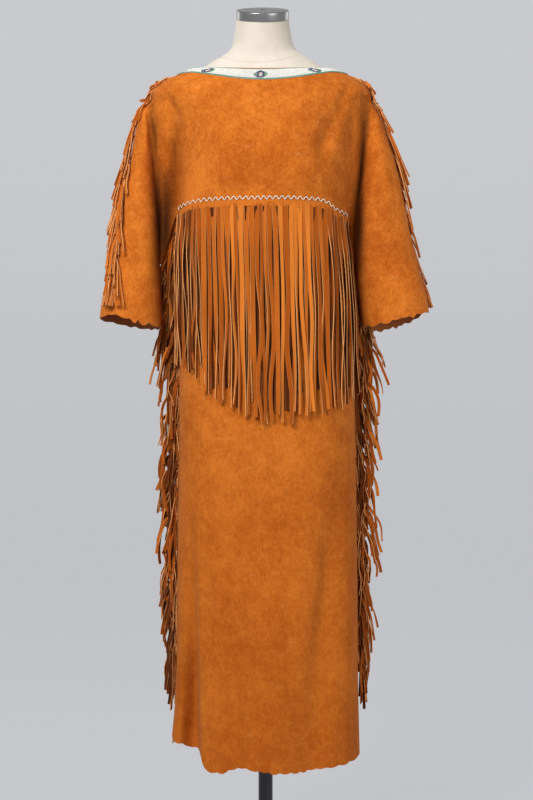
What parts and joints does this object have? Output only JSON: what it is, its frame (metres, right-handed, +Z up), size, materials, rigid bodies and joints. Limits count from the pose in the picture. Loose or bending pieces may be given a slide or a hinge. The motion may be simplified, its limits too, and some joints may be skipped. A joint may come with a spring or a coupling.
{
  "type": "fringed leather dress on a dress form",
  "caption": "Full-length fringed hide dress with elbow sleeves and a beaded boat neck, hung on a limbless dress form on a pole stand, as one free-standing display piece.",
  "frame": {"origin": "the middle of the stand's flat underside, on the floor", "axes": "+Z up along the pole, the dress faces -Y, +X to the right as seen from the front"},
  "size_m": [0.6224, 0.36, 1.612],
  "materials": {
    "suede": "rust-orange suede, napped",
    "fringe": "the same suede cut into strands, with pale cut edges",
    "beads": "opaque white seed beads with blue-green borders and flowers",
    "linen": "cream linen cover",
    "steel": "turned and brushed",
    "black": "satin black",
    "lacing": "white thong lacing"
  },
  "bodies": {
    "root": {"yoke_front": "suede", "yoke_back": "suede", "skirt_front": "suede", "skirt_back": "suede", "neck_band": "beads", "yoke_fringe": "fringe", "side_fringe_left": "fringe", "side_fringe_right": "fringe", "sleeve_fringe_left": "fringe", "sleeve_fringe_right": "fringe", "form_torso": "linen", "neck_cap": "steel", "pole_socket": "black", "stand_pole": "black", "stand_base": "black"}
  },
  "joints": []
}
